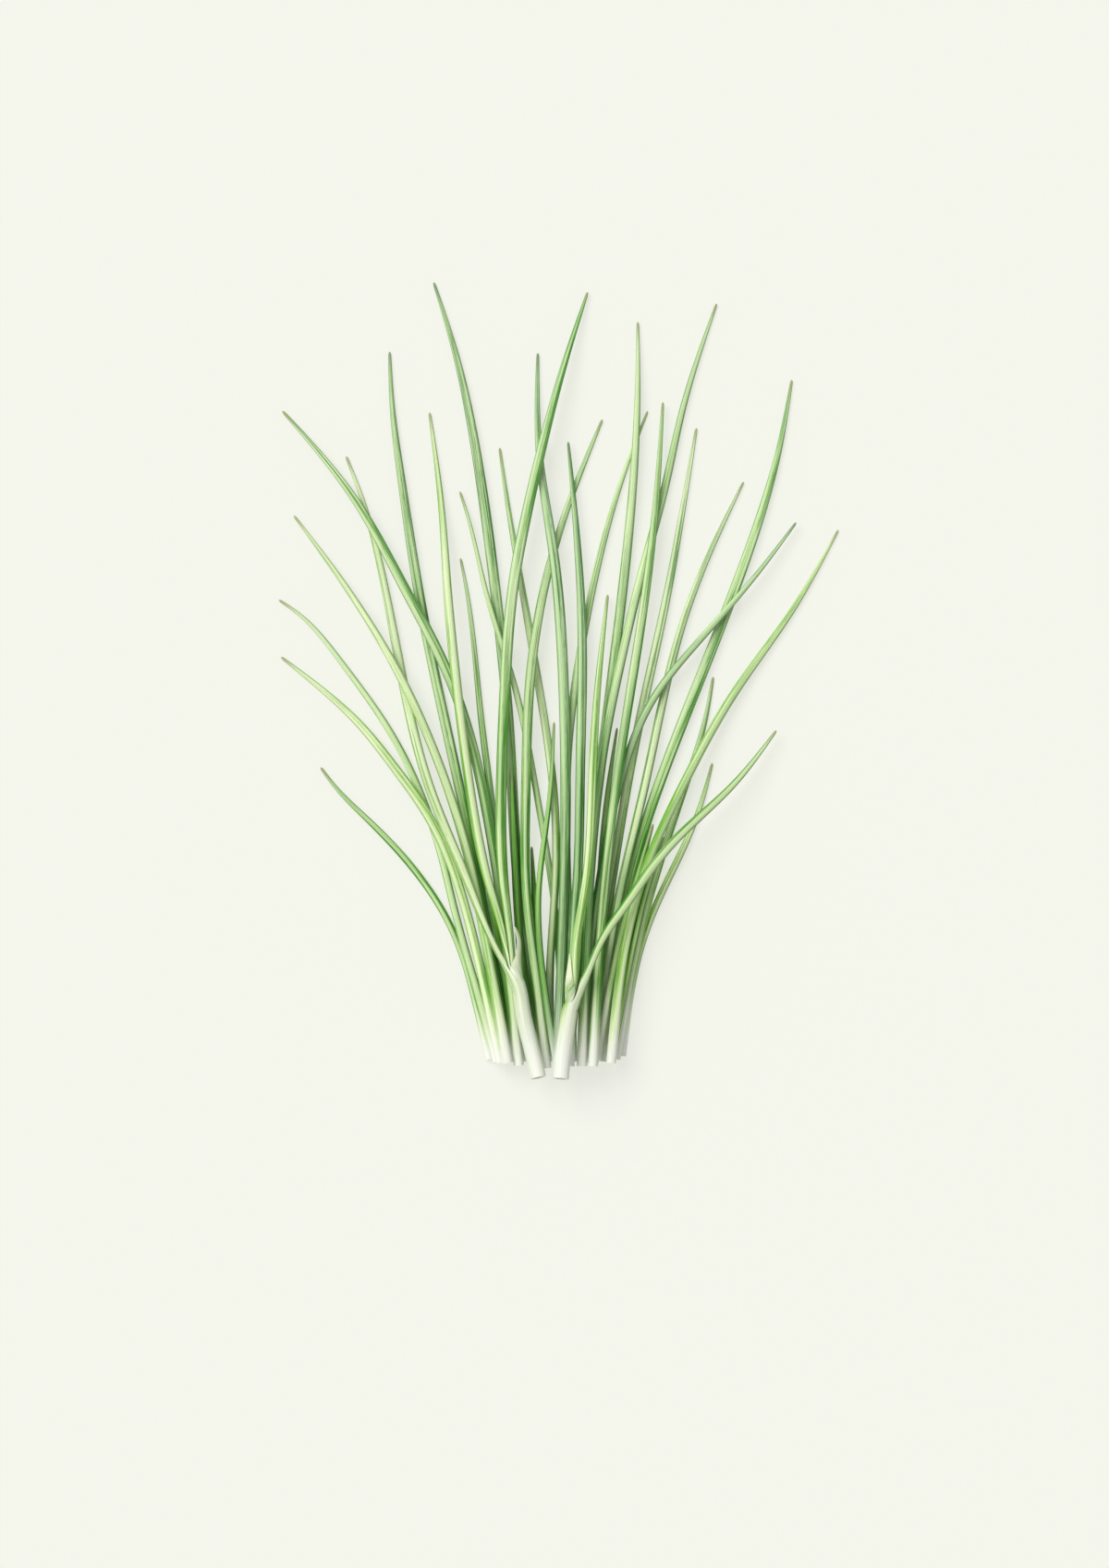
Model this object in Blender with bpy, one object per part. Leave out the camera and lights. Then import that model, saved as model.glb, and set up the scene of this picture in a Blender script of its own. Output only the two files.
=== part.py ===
"""A loose bunch of cut chives, lying flat as it was put down. Metres, +Z up.

The leaves fan out along +Y, from the cut ends to the tips, and +X is to the right of the fan.
Each leaf is a slender round tube of its own. Two stouter tillers lie on top: their outer leaf is
a sheath at the foot, with a bore that younger leaves come out of through a slanted mouth. The
lengths below are in millimetres, in the plane of the fan, with y = 0 at the line of the cut.
"""
import bmesh
import bpy
import numpy as np
from mathutils import Vector

NAME = "chive_bunch"
MM = 0.001

TIP_RADIUS = 0.5            # blunt end of a leaf
TAPER_LENGTH = 95.0         # over which a long leaf runs out to its tip
TAPER_SHARE = 0.42          # longest share of a short leaf that the taper may take
TAPER_POWER = 1.8           # how late along the taper the leaf thins
FOOT_HOLD = 8.0             # a leaf keeps its width at the cut this far
FOOT_CHANGE = 34.0          # and then changes to its own width over this length
LEAF_GAP = 0.45             # kept between leaves that cross
NEST_GAP = 0.35             # kept round a leaf inside a sheath
DROOP = 0.002               # a leaf falls away from what it lies on by DROOP * distance squared
STEP = 2.0                  # spacing of the points at which the pile is settled
SPACING = 19.0              # spacing of a leaf's rings
SHEATH_SPACING = 4.0        # the same along a sheath and its mouth
FINE_POINTS = 400           # along the curve that a leaf's points are read from
SMOOTHING_PASSES = 30
SETTLING_PASSES = 6
LAST_RINGS = (30.0, 14.0, 0.0)  # rings of the tapering end, by distance from the tip
HALF_SIDE_TURN = np.pi / 8  # turns an eight-sided section so that a flat side faces down
FLAT_SIDE = np.cos(HALF_SIDE_TURN)

# The straight lower part that the leaves of a tiller share
LEFT_SHEATH = ((-7, -1), (-9.7, 10.5), (-12.5, 22.5), (-15.3, 34))
RIGHT_SHEATH = ((0.9, -1), (1.8, 8), (3.1, 17), (4.7, 25))
MOUTH = 34.0                # length of the shared part of the left tiller, from the cut
RIGHT_MOUTH = 25.0
BORE_START = -3.0           # a bore starts before the cut
BORE_END = 96.0             # and ends beyond the mouth, where the leaves are clear of each other
FINE_END = 64.0             # rings of a tiller's leaves are close together up to here

# Every leaf from the bottom of the pile to the top: its width, its width at the cut, and points
# on its middle line from the cut to the tip. Within a layer the cut ends lie side by side.
BOTTOM_LAYER = {
    "leaf_25": (2.6, 3.2, ((-24.2, 5), (-29.8, 28), (-37.2, 50), (-49.5, 70), (-67.2, 89.3),
                           (-79, 101.3), (-84, 108))),
    "leaf_06": (3.8, 3.9, ((-16.4, 4), (-33, 92), (-49.3, 170), (-55.3, 209), (-58.6, 235),
                           (-59.6, 255))),
    "leaf_18": (2.6, 3.0, ((-12.8, 4), (-18, 52), (-23.4, 95), (-27.8, 130), (-32.3, 170), (-34.6, 182))),
    "leaf_01": (4.0, 3.8, ((-6.2, 3), (-10.7, 33), (-15, 78), (-17.5, 122), (-22.4, 172),
                           (-26.4, 202.6), (-30.6, 228.6), (-36.4, 254.7), (-44, 279.5))),
    "leaf_17": (2.6, 2.8, ((1.6, 4), (-1.5, 60), (-7.1, 95), (-15.9, 138), (-25.6, 170), (-31.8, 196),
                           (-34.8, 205.5))),
    "leaf_13": (3.2, 3.4, ((5.2, 4), (3.4, 60), (3.7, 118), (8, 150), (16.5, 190), (23.2, 212), (31.6, 234))),
    "leaf_11": (3.4, 3.4, ((9, 4), (19.6, 72), (26.2, 111.5), (33.1, 144), (38.9, 171), (43.8, 198),
                           (48.9, 228))),
    "leaf_10": (4.0, 3.8, ((16.6, 4), (24.8, 66), (44.4, 125), (67.5, 185), (78.4, 222), (82.6, 245))),
    "leaf_30": (2.8, 3.4, ((22.3, 6), (27.2, 37), (32.1, 53.2), (40.9, 72.6), (49.5, 92.2),
                           (54.5, 109.5))),
}
GROOVE_LAYER = {
    "leaf_23": (3.0, 3.7, ((-21.6, 4), (-29, 30), (-37.3, 60), (-42, 79), (-48.7, 98.5), (-59.3, 120),
                           (-76.7, 145), (-91.4, 161.9), (-98.8, 167.2))),
    "back_leaf_a": (2.8, 3.0, ((-9.5, 5), (-14, 50), (-16.5, 106))),
    "leaf_16": (3.0, 3.3, ((-2.2, 4), (-3, 33), (-0.8, 72), (-1.5, 98), (-6.9, 137), (-13.1, 173),
                           (-17.7, 200), (-20.7, 221))),
    "leaf_19": (3.5, 3.4, ((12.7, 4), (20.8, 60), (30.3, 101), (36.6, 130.5), (43.3, 157), (53.1, 183),
                           (65.5, 209))),
    "leaf_28": (3.0, 3.2, ((20.4, 5), (28.5, 47), (35.4, 72.4), (43.9, 98.4), (51.9, 124.4),
                           (54.8, 140))),
    "back_leaf_c": (2.8, 3.0, ((10.8, 6), (14.2, 60), (17.3, 98), (20.8, 122))),
    "back_leaf_d": (2.8, 3.0, ((-15.2, 6), (-18.4, 33), (-22.6, 56), (-28, 82))),
    "back_leaf_e": (2.8, 3.0, ((19, 7), (24.4, 36), (30.2, 62), (37, 84))),
    "back_leaf_f": (2.4, 2.8, ((-3.4, 6), (-7.2, 45), (-9.4, 80))),
}
SECOND_LAYER = {
    "leaf_08": (3.9, 3.8, ((-13.9, 3), (-18, 45), (-24, 86), (-31, 118), (-40.2, 144), (-53.7, 170.3),
                           (-71.3, 201.8), (-97.5, 234))),
    "leaf_24": (3.5, 3.6, ((-20.2, 4), (-30.5, 50), (-37.3, 72.6), (-46.7, 92.3), (-57.8, 108),
                           (-69.5, 122.5), (-83.5, 135.5), (-98, 147))),
    "leaf_22": (3.6, 3.8, ((-17.8, 4), (-25.5, 46), (-30.8, 72), (-46.5, 120), (-55, 138.3), (-78.6, 176.7),
                           (-93.5, 197))),
    "leaf_14": (3.6, 3.7, ((-4.2, 2), (-7.6, 33), (-11.2, 65), (-11.4, 100), (-9.4, 144), (-5.2, 170),
                           (2, 196.1), (15.6, 231))),
    "leaf_04": (4.0, 3.8, ((3.4, 3), (12, 85), (23.3, 177), (27.2, 222), (28.1, 248), (28.1, 265.5))),
    "back_leaf_b": (3.0, 3.2, ((13.2, 5), (21, 42), (33.5, 88))),
    "leaf_27": (2.4, 2.6, ((-0.4, 3), (-5.2, 33), (-7, 64), (-3.5, 94), (-1.5, 124))),
    "leaf_20": (3.2, 3.6, ((8.4, 3), (11.5, 46), (17.8, 86), (24.2, 111.4), (33.1, 131.8), (48.3, 151.3),
                           (71.7, 178.3), (84, 194.5))),
    "leaf_21": (3.4, 3.6, ((18.6, 4), (22.3, 38), (30.6, 72), (45.1, 104), (61.5, 133.3), (82.4, 163.2),
                           (99, 192))),
}
THIRD_LAYER = {
    "leaf_05": (3.9, 3.8, ((-0.5, 3), (2, 59), (2.6, 98), (1.3, 150), (-1.6, 183), (-6.5, 217),
                           (-7.2, 254.5))),
    "leaf_03": (3.6, 3.6, ((8.2, 3), (13.6, 97), (16.5, 118), (21.7, 144), (28.2, 172), (38, 209),
                           (44, 235), (56, 272))),
    "leaf_12": (3.4, 3.6, ((12.2, 3), (16.9, 72.5), (22.8, 118), (29, 157), (34, 196), (37, 237))),
    "leaf_15": (3.6, 3.6, ((4, 3), (4.8, 38), (7.2, 77), (7.8, 108), (8.5, 150), (3.5, 223))),
}
TOP_LAYER = {
    "left_outer_leaf": (3.6, 5.8, LEFT_SHEATH + ((-18.6, 38.7), (-23, 46.4), (-32.8, 70), (-45, 100),
                                                 (-55, 139), (-62.2, 176), (-69.2, 202.5),
                                                 (-75, 218))),
    "left_inner_leaf": (3.6, 4.0, LEFT_SHEATH + ((-18.6, 46.5), (-21.2, 56), (-24.2, 66), (-30.3, 95),
                                                 (-35, 130), (-39, 170), (-40.9, 196),
                                                 (-45.5, 233.5))),
    "left_heart_leaf": (4.0, 2.3, LEFT_SHEATH + ((-16.6, 46), (-19, 66), (-20, 105), (-18.3, 144),
                                                 (-16.1, 170), (-11.4, 196), (-4.4, 226),
                                                 (2.1, 250), (10.4, 276))),
    "right_inner_leaf": (3.2, 3.3, RIGHT_SHEATH + ((5.8, 40), (6.6, 49), (8.5, 60), (10, 70),
                                                   (11.8, 98), (13.5, 131), (17.5, 169))),
    "right_outer_leaf": (3.4, 5.9, RIGHT_SHEATH + ((8.8, 33), (12.7, 42), (16.4, 49.5), (23.1, 59),
                                                   (30.3, 69.3), (38.1, 79.2), (50.8, 91.6),
                                                   (60.7, 100.9), (77, 121))),
}
LEAVES = {**BOTTOM_LAYER, **GROOVE_LAYER, **SECOND_LAYER, **THIRD_LAYER, **TOP_LAYER}

# Each sheath with the leaves in its bore
NESTS = {
    "left_outer_leaf": ("left_inner_leaf", "left_heart_leaf"),
    "left_inner_leaf": ("left_heart_leaf",),
    "right_outer_leaf": ("right_inner_leaf",),
}
# The leaves that share a tiller's straight lower part, and the length of that part
TILLERS = (
    (MOUTH, ("left_outer_leaf", "left_inner_leaf", "left_heart_leaf")),
    (RIGHT_MOUTH, ("right_outer_leaf", "right_inner_leaf")),
)
# How far the foot of a tiller's leaf holds its width, over what length it then narrows to the
# neck, how wide the neck is, and over what length the leaf widens from there
NECKS = {
    "left_outer_leaf": (MOUTH, 10.0, 2.2, 40.0),
    "left_inner_leaf": (MOUTH - 4, 16.0, 2.7, 40.0),
    "left_heart_leaf": (MOUTH, 50.0, 4.0, 50.0),
    "right_outer_leaf": (RIGHT_MOUTH - 3, 20.0, 2.6, 32.0),
}
# The lip of a sheath: x, y and radius of a pointed tongue that stands up beside the mouth
LIPS = {
    "left_outer_leaf": ((-12.4, 28, 1.4), (-14.0, 38, 1.4), (-13.9, 43.5, 0.8), (-13.8, 47, 0.5),
                        (-14.8, 52, 0.35)),
    "right_outer_leaf": ((3.2, 20, 1.6), (3.8, 28, 1.6), (3.7, 34.5, 1.1), (3.9, 43, 0.35)),
}
# Leaves that lie under another at the foot and cross over it beyond this y
CROSSES_OVER = {
    ("leaf_08", "left_outer_leaf"): 100,
    ("leaf_22", "left_outer_leaf"): 100,
}

PALE = Vector((0.78, 0.84, 0.56))
GREENS = {
    "fresh": Vector((0.27, 0.50, 0.12)),
    "yellow": Vector((0.42, 0.58, 0.16)),
    "blue": Vector((0.20, 0.42, 0.18)),
    "deep": Vector((0.10, 0.27, 0.06)),
}
YELLOW_LEAVES = ("left_inner_leaf", "left_outer_leaf", "right_inner_leaf", "leaf_22", "leaf_24", "leaf_21")
BLUE_LEAVES = ("leaf_01", "leaf_05", "leaf_06", "leaf_15", "leaf_20", "right_outer_leaf")


# ---- The middle line of a leaf in the plane of the fan --------------------------------------------

def spline_bends(points, knots):
    """Second derivatives at the points of the natural cubic spline through them."""
    count = len(points)
    gaps = np.diff(knots)
    matrix, right = np.eye(count), np.zeros((count, 2))
    for i in range(1, count - 1):
        matrix[i, i - 1:i + 2] = gaps[i - 1], 2 * (gaps[i - 1] + gaps[i]), gaps[i]
        right[i] = 6 * ((points[i + 1] - points[i]) / gaps[i] - (points[i] - points[i - 1]) / gaps[i - 1])
    return np.linalg.solve(matrix, right)


def spline_through(points, count):
    """Points of the natural cubic spline through the given ones, in equal steps of its knots."""
    points = np.array(points, dtype=float)
    chords = np.linalg.norm(np.diff(points, axis=0), axis=1)
    knots = np.concatenate([[0.0], np.cumsum(chords)])
    bends = spline_bends(points, knots)
    at = np.linspace(0.0, knots[-1], count)
    piece = np.clip(np.searchsorted(knots, at, side="right") - 1, 0, len(points) - 2)
    gap = (knots[piece + 1] - knots[piece])[:, None]
    before = (knots[piece + 1] - at)[:, None] / gap
    after = 1.0 - before
    bend = (before ** 3 - before) * bends[piece] + (after ** 3 - after) * bends[piece + 1]
    return before * points[piece] + after * points[piece + 1] + bend * gap ** 2 / 6


def lengths_along(points):
    """Distance of each point from the first, along the line."""
    return np.concatenate([[0.0], np.cumsum(np.linalg.norm(np.diff(points, axis=0), axis=1))])


def read_line(line, lengths, at):
    """The line's points at the given lengths; it runs straight on before its start."""
    points = np.column_stack([np.interp(at, lengths, line[:, k]) for k in range(line.shape[1])])
    start = (line[0] - line[1]) / (lengths[1] - lengths[0])
    return points + np.minimum(at, 0.0)[:, None] * -start


# ---- Radius along a leaf --------------------------------------------------------------------------

def smooth_step(value):
    value = np.clip(value, 0.0, 1.0)
    return value * value * (3.0 - 2.0 * value)


def leaf_radius(name, lengths, total):
    """Radius of a leaf at lengths from its cut: foot, long even stretch and tapering tip."""
    width, foot_width, _ = LEAVES[name]
    hold, narrowing, neck_width, widening = NECKS.get(name, (FOOT_HOLD, FOOT_CHANGE, width, FOOT_CHANGE))
    narrowed = smooth_step((lengths - hold) / narrowing)
    widened = smooth_step((lengths - hold - narrowing) / widening)
    radius = (foot_width + (neck_width - foot_width) * narrowed + (width - neck_width) * widened) / 2
    taper = min(TAPER_LENGTH, TAPER_SHARE * total)
    run = np.clip((lengths - (total - taper)) / taper, 0.0, 1.0) ** TAPER_POWER
    return radius + (TIP_RADIUS - radius) * run


# ---- The pile: how high each leaf lies ------------------------------------------------------------

class Leaf:
    """A leaf's middle line, sampled every STEP along it, with its radius and height."""

    def __init__(self, name):
        self.name = name
        fine = spline_through(LEAVES[name][2], FINE_POINTS)
        reached = lengths_along(fine)
        self.total = reached[-1]
        self.lengths = np.append(np.arange(0.0, self.total, STEP), self.total)
        self.plan = read_line(fine, reached, self.lengths)
        self.radius = leaf_radius(name, self.lengths, self.total)
        self.height = self.radius * FLAT_SIDE

    def rest_on(self, need):
        """Lie at the needed heights or above: bent no tighter than DROOP, with rounded hollows."""
        apart = self.lengths[:, None] - self.lengths[None, :]
        height = (need[None, :] - DROOP * apart ** 2).max(axis=1)
        for _ in range(SMOOTHING_PASSES):
            height[1:-1] = np.maximum(height[1:-1], (height[:-2] + 2 * height[1:-1] + height[2:]) / 4)
        self.height = height


def lies_over(upper, lower, order):
    """Along the upper leaf, whether it passes over the lower one."""
    y = upper.plan[:, 1]
    if (upper.name, lower.name) in CROSSES_OVER:
        return y > CROSSES_OVER[upper.name, lower.name]
    if (lower.name, upper.name) in CROSSES_OVER:
        return y <= CROSSES_OVER[lower.name, upper.name]
    return np.full(len(y), order[upper.name] > order[lower.name])


def same_tiller(first, second):
    return any(first.name in names and second.name in names for _, names in TILLERS)


def needed_height(upper, leaves, order):
    """The lowest heights at which the leaf clears the surface and the leaves that it passes over."""
    need = upper.radius * FLAT_SIDE
    for lower in leaves.values():
        over = lies_over(upper, lower, order)
        if lower is upper or same_tiller(upper, lower) or not over.any():
            continue
        apart = np.linalg.norm(upper.plan[:, None] - lower.plan[None], axis=2)
        reach = upper.radius[:, None] + lower.radius[None, :] + LEAF_GAP
        lift = np.sqrt(np.maximum(reach ** 2 - apart ** 2, 0.0))
        touching = np.where(apart < reach, lower.height[None, :] + lift, 0.0).max(axis=1)
        need = np.where(over, np.maximum(need, touching), need)
    return need


def settle():
    """Every leaf by name, each lying on the surface or on the leaves below it."""
    leaves = {name: Leaf(name) for name in LEAVES}
    order = {name: place for place, name in enumerate(LEAVES)}
    for _ in range(SETTLING_PASSES):
        for leaf in leaves.values():
            leaf.rest_on(needed_height(leaf, leaves, order))
        for mouth, names in TILLERS:
            shared = int(mouth / STEP) + 1
            level = np.max([leaves[name].height[:shared] for name in names], axis=0)
            for name in names:
                need = needed_height(leaves[name], leaves, order)
                need[:shared] = level
                leaves[name].rest_on(need)
    return leaves


# ---- Solids ---------------------------------------------------------------------------------------

def ring_places(leaf):
    """Lengths from the cut at which the leaf's tube has a ring."""
    fine_end = FINE_END if any(leaf.name in names for _, names in TILLERS) else 0.0
    last = leaf.total - np.array(LAST_RINGS)
    fine = np.arange(0.0, fine_end, SHEATH_SPACING)
    count = int(np.ceil((last[0] - fine_end) / SPACING)) + 1
    return np.concatenate([fine, np.linspace(fine_end, last[0], count), last[1:]])


def tube(name, points, radii, collection):
    """A round tube through the points, as a curve placed at its first point."""
    curve = bpy.data.curves.new(name, "CURVE")
    curve.dimensions = "3D"
    curve.twist_mode = "Z_UP"
    curve.bevel_depth = MM
    curve.bevel_resolution = 2
    curve.use_fill_caps = True
    spline = curve.splines.new("POLY")
    spline.points.add(len(points) - 1)
    for point, place, radius in zip(spline.points, points - points[0], radii):
        point.co = (*(place * MM), 1.0)
        point.radius = radius
        point.tilt = HALF_SIDE_TURN
    piece = bpy.data.objects.new(name, curve)
    piece.location = points[0] * MM
    collection.objects.link(piece)
    return piece


def leaf_tube(leaf, collection, start=0.0, end=None, extra=0.0, label=None):
    """A leaf's tube, or a stretch of it that is wider by extra."""
    places = ring_places(leaf)
    if end is not None:
        places = np.concatenate([[start], places[(places > start) & (places < end)], [end]])
    points = read_line(np.column_stack([leaf.plan, leaf.height]), leaf.lengths, places)
    radii = leaf_radius(leaf.name, np.maximum(places, 0.0), leaf.total) + extra
    return tube(label or leaf.name, points, radii, collection)


def as_mesh(piece):
    """Replace a curve object by a mesh object with its caps welded on."""
    graph = bpy.context.evaluated_depsgraph_get()
    mesh = bpy.data.meshes.new_from_object(piece.evaluated_get(graph))
    welded = bmesh.new()
    welded.from_mesh(mesh)
    bmesh.ops.remove_doubles(welded, verts=welded.verts, dist=0.01 * MM)
    welded.to_mesh(mesh)
    welded.free()
    name, place, collection = piece.name, piece.matrix_world.copy(), piece.users_collection[0]
    bpy.data.objects.remove(piece)
    solid = bpy.data.objects.new(name, mesh)
    solid.matrix_world = place
    collection.objects.link(solid)
    return solid


def combine(piece, other, operation):
    """A Boolean modifier that joins the other solid to the piece or cuts it away."""
    other.hide_render = True
    other.display_type = "WIRE"
    change = piece.modifiers.new(other.name, "BOOLEAN")
    change.operation = operation
    change.object = other


def add_lip(piece, leaf, cutters):
    """The pointed tongue of a sheath, level with the middle of the tube that it grows from."""
    points = np.array(LIPS[leaf.name])
    level = np.interp(points[:, 1], leaf.plan[:, 1], leaf.height)
    line = np.column_stack([points[:, :2], level])
    combine(piece, as_mesh(tube(f"{leaf.name}_lip", line, points[:, 2], cutters)), "UNION")


def nest(piece, leaves, cutters):
    """Open a sheath along the leaves that it holds."""
    for inner in NESTS[piece.name]:
        label = f"{piece.name}_bore_{inner}"
        bore = leaf_tube(leaves[inner], cutters, BORE_START, BORE_END, NEST_GAP, label)
        combine(piece, as_mesh(bore), "DIFFERENCE")


# ---- Looks and assembly ---------------------------------------------------------------------------

def leaf_material(name):
    if name.startswith("back"):
        tone = "deep"
    else:
        tone = "yellow" if name in YELLOW_LEAVES else "blue" if name in BLUE_LEAVES else "fresh"
    share = 0.35 if name in NESTS else 0.1
    colour = GREENS[tone].lerp(PALE, share)
    material = bpy.data.materials.new(f"{name}_{tone}_green")
    material.use_nodes = True
    shader = material.node_tree.nodes["Principled BSDF"]
    shader.inputs["Base Color"].default_value = (*colour, 1.0)
    shader.inputs["Roughness"].default_value = 0.42
    shader.inputs["Metallic"].default_value = 0.0
    return material


def centre_on_origin(root, pieces):
    """Put the middle of the bunch's box on the origin, with its lowest flat sides on z = 0."""
    bpy.context.view_layer.update()
    graph = bpy.context.evaluated_depsgraph_get()
    places = []
    for piece in pieces:
        solid = piece.evaluated_get(graph)
        places += [piece.matrix_world @ vertex.co for vertex in solid.to_mesh().vertices]
        solid.to_mesh_clear()
    low, high = np.min(places, axis=0), np.max(places, axis=0)
    root.location = (-(low[0] + high[0]) / 2, -(low[1] + high[1]) / 2, 0.0)


def new_collection(name):
    collection = bpy.data.collections.new(name)
    bpy.context.scene.collection.children.link(collection)
    return collection


for old in list(bpy.data.objects):
    bpy.data.objects.remove(old)
parts = new_collection(NAME)
cutters = new_collection(f"{NAME}_cutters")
root = bpy.data.objects.new(f"{NAME}_root", None)
parts.objects.link(root)

leaves = settle()
pieces = []
for name, leaf in leaves.items():
    piece = leaf_tube(leaf, parts)
    if name in NESTS:
        piece = as_mesh(piece)
        if name in LIPS:
            add_lip(piece, leaf, cutters)
        nest(piece, leaves, cutters)
    piece.data.materials.clear()
    piece.data.materials.append(leaf_material(name))
    pieces.append(piece)
for solid in pieces + list(cutters.objects):
    solid.parent = root
centre_on_origin(root, pieces)
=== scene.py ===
"""A loose bunch of cut chives lying on a pale table, seen from straight above.

The leaves fan out along +Y from their cut ends, and +X is to the right of the fan. Sizes in this
file are in millimetres unless they say otherwise. Each leaf follows the middle line of its CAD
node: the same points in the plane of the fan, at the height at which that node lies.
"""

import bmesh
import bpy
import numpy as np
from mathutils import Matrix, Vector
from mathutils.bvhtree import BVHTree


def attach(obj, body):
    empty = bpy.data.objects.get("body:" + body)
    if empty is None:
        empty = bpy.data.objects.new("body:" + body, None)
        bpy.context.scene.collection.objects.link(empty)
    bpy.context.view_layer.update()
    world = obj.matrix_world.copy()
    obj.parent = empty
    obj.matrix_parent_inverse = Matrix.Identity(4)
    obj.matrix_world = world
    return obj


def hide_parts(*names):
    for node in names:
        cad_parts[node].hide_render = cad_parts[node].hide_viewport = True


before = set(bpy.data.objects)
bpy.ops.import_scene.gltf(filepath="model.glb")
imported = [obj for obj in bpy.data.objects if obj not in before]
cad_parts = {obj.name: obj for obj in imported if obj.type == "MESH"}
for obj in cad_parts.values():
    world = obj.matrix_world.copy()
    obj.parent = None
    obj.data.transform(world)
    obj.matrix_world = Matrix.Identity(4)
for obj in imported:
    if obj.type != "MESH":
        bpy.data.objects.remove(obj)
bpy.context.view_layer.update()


# ---- Back leaves --------------------------------------------------------------
# Six short leaves deep in the middle of the bunch, painted dark green as the shade that falls there.
# A chive leaf is one hollow tube of soft tissue under a thin waxy skin. It grows from its foot, so
# it is pale and stout at the cut, and thins to a soft dull point. Fine veins run from end to end.

MM = 0.001
CUT_LINE = (-0.16, -139.0023)   # the fan's own x = 0, y = 0 in the frame
FAR_BELOW = -5.0                # a height under the whole bunch
TIP_RADIUS = 0.5                # a leaf's blunt end
TIP_ROUNDING = 1.4              # length over which that end closes
TIP_RINGS = (0.6, 0.3, 0.12, 0.03, 0.0)     # how far from the tip its last rings are, in that length
TIP_CLOSED = 0.995              # how far the last ring has closed
TAPER_LENGTH = 95.0             # over which a long leaf runs out to its tip
TAPER_SHARE = 0.42              # longest share of a short leaf that the taper may take
TAPER_POWER = 1.8               # how late along the taper the leaf thins
FOOT_HOLD = 8.0                 # a leaf keeps its width at the cut this far
FOOT_CHANGE = 34.0              # and then changes to its own width over this length
RING_STEP = 2.4                 # between the rings of a leaf's tube
SIDES = 32                      # round a leaf's tube
UNDERSIDE = 0.924               # the CAD tube's flat underside, in radii below its middle
SECTION_HEIGHT = 0.92           # of a leaf, as a share of its width
GROOVE_TWIST = 4.0              # radians that a leaf's shallow channel winds round in a metre
GROOVE_START = (0.02, 0.06)     # where it begins and is fully deep, in metres from the cut
GROOVE_SHARPNESS = 5.0          # the power that narrows it
WIDTH_WAVES = 28.0              # along a leaf's uneven width, in a metre
VEINS = 15.0                    # round a leaf
LEVELLING = 5.0                 # the rounding of a leaf's course in height, along the leaf


def spline_through(points, count=500):
    """Points of the natural cubic spline through the given ones, in equal steps of its knots."""
    points = np.array(points, dtype=float)
    knots = np.concatenate([[0.0], np.cumsum(np.linalg.norm(np.diff(points, axis=0), axis=1))])
    gaps = np.diff(knots)
    matrix = np.eye(len(points))
    right = np.zeros(points.shape)
    for i in range(1, len(points) - 1):
        matrix[i, i - 1:i + 2] = gaps[i - 1], 2 * (gaps[i - 1] + gaps[i]), gaps[i]
        right[i] = 6 * ((points[i + 1] - points[i]) / gaps[i] - (points[i] - points[i - 1]) / gaps[i - 1])
    bends = np.linalg.solve(matrix, right)
    at = np.linspace(0.0, knots[-1], count)
    piece = np.clip(np.searchsorted(knots, at, side="right") - 1, 0, len(points) - 2)
    gap = gaps[piece][:, None]
    before = (knots[piece + 1] - at)[:, None] / gap
    after = 1.0 - before
    bend = (before ** 3 - before) * bends[piece] + (after ** 3 - after) * bends[piece + 1]
    return before * points[piece] + after * points[piece + 1] + bend * gap ** 2 / 6


def smooth_step(value):
    """A smooth passage from 0 to 1 as the value goes from 0 to 1."""
    value = np.clip(value, 0.0, 1.0)
    return value * value * (3.0 - 2.0 * value)


def section_axes(ahead):
    """The level and the upward direction across each direction along a leaf."""
    across = np.cross(ahead, (0.0, 0.0, 1.0))
    across /= np.linalg.norm(across, axis=1)[:, None]
    return across, np.cross(across, ahead)


def leaf_radius(width, foot_width, neck, lengths, total):
    """Radius at lengths from the cut: the foot, a long even stretch and the tapering tip."""
    hold, narrowing, neck_width, widening = neck
    narrowed = smooth_step((lengths - hold) / narrowing)
    widened = smooth_step((lengths - hold - narrowing) / widening)
    radius = (foot_width + (neck_width - foot_width) * narrowed + (width - neck_width) * widened) / 2
    taper = min(TAPER_LENGTH, TAPER_SHARE * total)
    run = np.clip((lengths - (total - taper)) / taper, 0.0, 1.0) ** TAPER_POWER
    return radius + (TIP_RADIUS - radius) * run


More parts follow.
